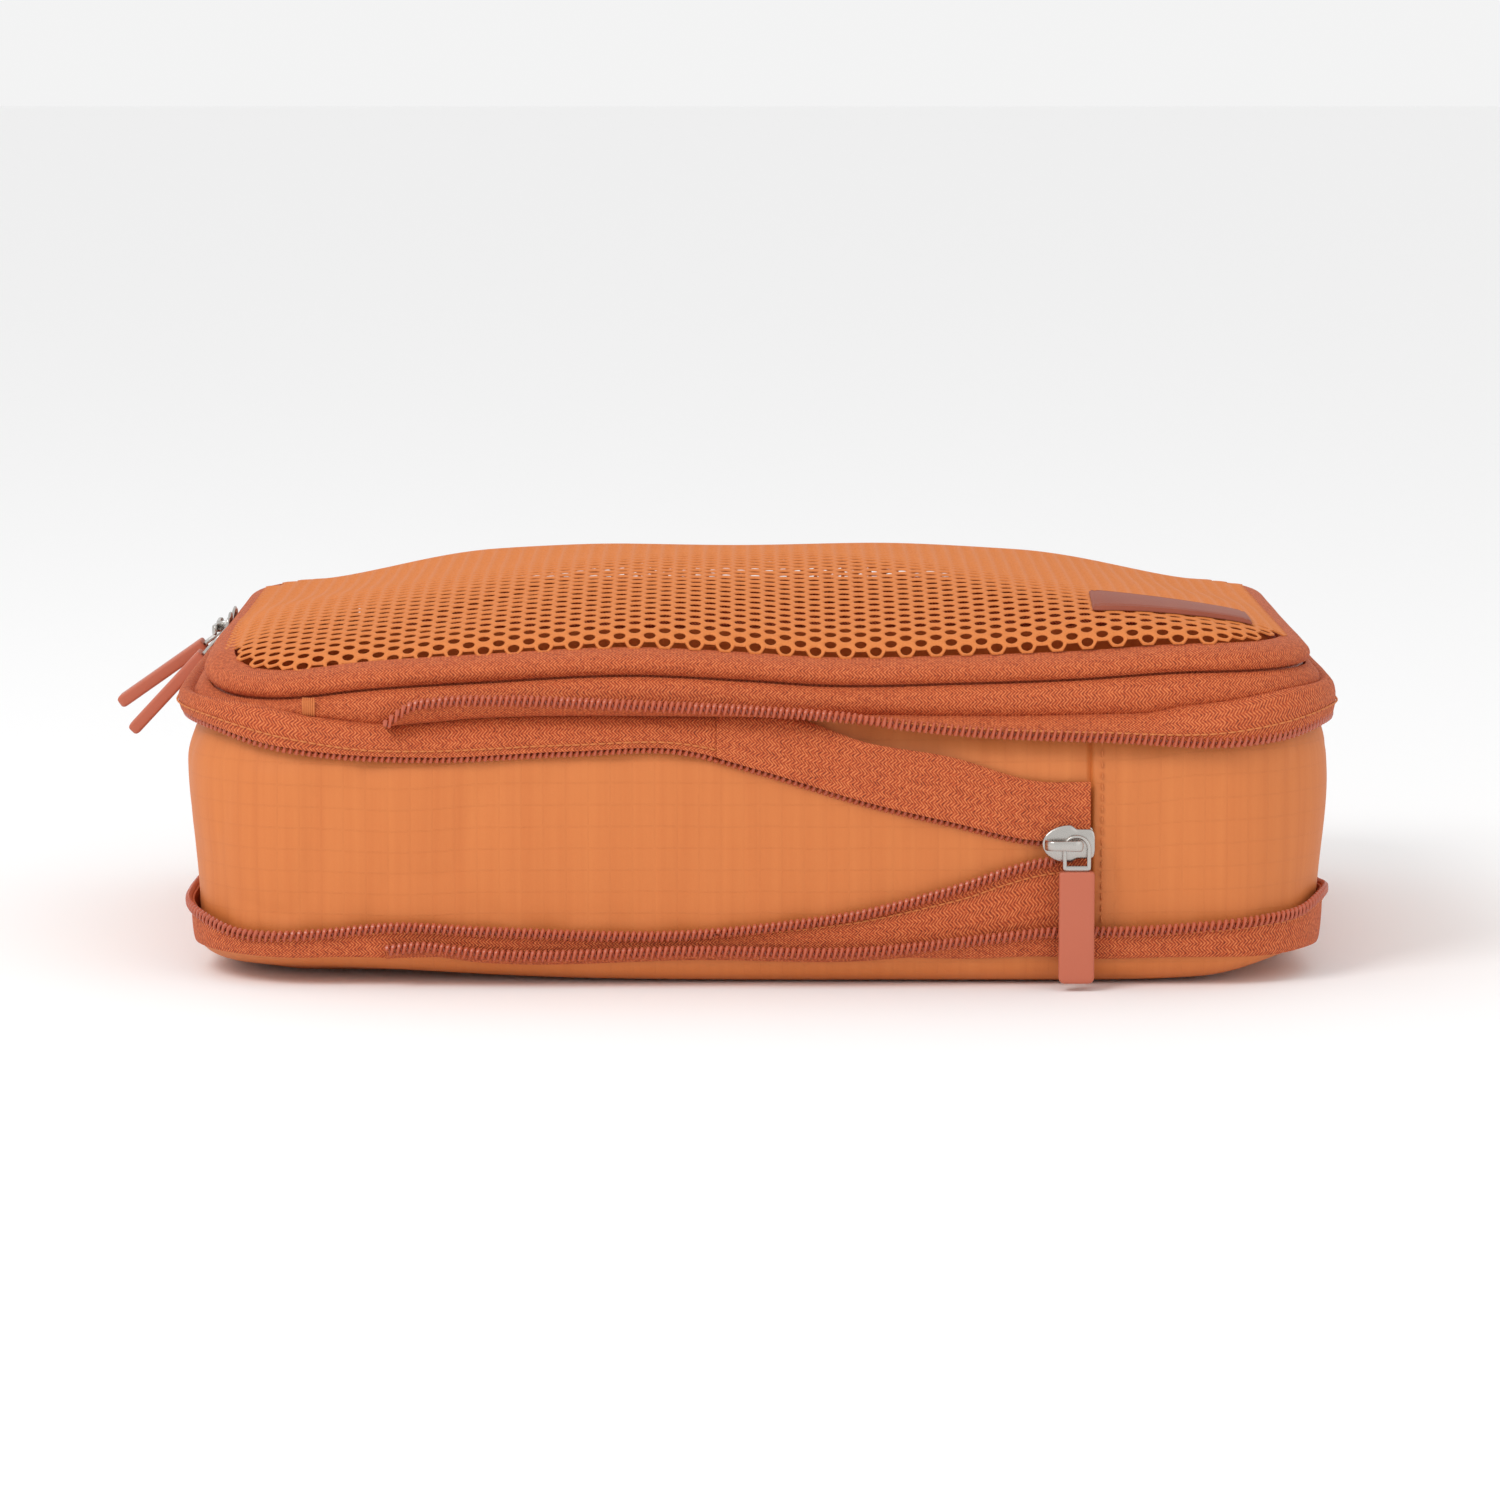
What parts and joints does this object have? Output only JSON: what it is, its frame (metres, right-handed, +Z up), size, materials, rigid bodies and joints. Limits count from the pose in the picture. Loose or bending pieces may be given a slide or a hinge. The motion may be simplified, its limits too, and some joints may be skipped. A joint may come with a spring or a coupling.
{
  "type": "packing cube",
  "caption": "Soft compression packing cube with a domed mesh lid, a zip round the lid and a second, spiral zip round the wall that draws the rim down to the base.",
  "frame": {"origin": "centre of the underside, on the surface that the case stands on", "axes": "+Z up, +X along the long side to the right when the compression slider faces the viewer, -Y to the front"},
  "size_m": [0.3188, 0.2137, 0.099],
  "materials": {
    "ripstop_nylon": "light orange ripstop nylon, slight sheen",
    "woven_tape": "darker orange woven polyester zip tape",
    "polyester_mesh": "orange knitted mesh",
    "nylon_coil": "reddish brown glossy nylon coil",
    "label_leather": "rust brown smooth leather",
    "satin_metal": "satin plated zinc",
    "moulded_grip": "salmon soft-touch moulded plastic"
  },
  "bodies": {
    "base": {"bottom_panel": "ripstop_nylon", "bottom_seam_binding": "woven_tape", "gusset_wall_lower": "ripstop_nylon", "lower_zip_tape": "woven_tape", "lower_zip_coil": "nylon_coil", "lower_return_coil": "nylon_coil", "lower_lead_coil": "nylon_coil", "lower_lead_tape": "woven_tape"},
    "gusset_middle": {"gusset_wall_middle": "ripstop_nylon"},
    "rim": {"gusset_wall_upper": "ripstop_nylon", "rim_seam_binding": "woven_tape", "upper_zip_coil": "nylon_coil", "upper_zip_tape": "woven_tape", "upper_return_coil": "nylon_coil", "main_zip_tape_lower": "woven_tape", "main_zip_coil_lower": "nylon_coil", "rim_hinge_strip": "woven_tape", "zip_stop_left": "satin_metal", "zip_stop_right": "satin_metal", "upper_lead_coil": "nylon_coil", "upper_lead_tape": "woven_tape"},
    "lid": {"main_zip_coil_upper": "nylon_coil", "main_zip_tape_upper": "woven_tape", "lid_hinge_strip": "woven_tape", "lid_edge_binding": "woven_tape", "lid_mesh_panel": "polyester_mesh", "leather_label": "label_leather"},
    "compression_slider": {"compression_slider_body": "satin_metal"},
    "compression_pull": {"compression_pull_loop": "satin_metal", "compression_pull_grip": "moulded_grip"},
    "main_front_slider": {"main_front_slider_body": "satin_metal"},
    "main_front_pull": {"main_front_pull_loop": "satin_metal", "main_front_pull_grip": "moulded_grip"},
    "main_rear_slider": {"main_rear_slider_body": "satin_metal"},
    "main_rear_pull": {"main_rear_pull_loop": "satin_metal", "main_rear_pull_grip": "moulded_grip"}
  },
  "joints": [
    {"name": "compress", "type": "slide", "parent": "base", "child": "rim", "axis": [0, 0, -1], "range_m": [0, 0.041], "deforming": ["upper_lead_coil", "upper_lead_tape", "lower_lead_coil", "lower_lead_tape"]},
    {"name": "gusset_fold", "type": "slide", "parent": "base", "child": "gusset_middle", "axis": [0, 0, -1], "range_m": [0, 0.0205]},
    {"name": "lid_hinge", "type": "hinge", "parent": "rim", "child": "lid", "pos_m": [0, 0.0957, 0.07535], "axis": [-1, 0, 0], "range_deg": [0, 135]},
    {"name": "compression_slider_slide", "type": "slide", "parent": "base", "child": "compression_slider", "axis": [-0.9942, 0, -0.1078], "range_m": [0, 0.17622]},
    {"name": "compression_pull_swing", "type": "hinge", "parent": "compression_slider", "child": "compression_pull", "pos_m": [0.07875, -0.1091, 0.036], "axis": [-1, 0, 0], "range_deg": [0, 170]},
    {"name": "main_front_slider_slide", "type": "slide", "parent": "rim", "child": "main_front_slider", "axis": [0, -1, 0], "range_m": [0, 0.078]},
    {"name": "main_front_pull_swing", "type": "hinge", "parent": "main_front_slider", "child": "main_front_pull", "pos_m": [-0.1442, 0.02, 0.07535], "axis": [0, 1, 0], "range_deg": [0, 125]},
    {"name": "main_rear_slider_slide", "type": "slide", "parent": "rim", "child": "main_rear_slider", "axis": [0, 1, 0], "range_m": [0, 0.024]},
    {"name": "main_rear_pull_swing", "type": "hinge", "parent": "main_rear_slider", "child": "main_rear_pull", "pos_m": [-0.1442, 0.034, 0.07535], "axis": [0, 1, 0], "range_deg": [0, 115]}
  ],
  "couplings": [
    {"joint": "compression_slider_slide", "follows": "compress", "ratio": 4.298},
    {"joint": "gusset_fold", "follows": "compress", "ratio": 0.5}
  ]
}
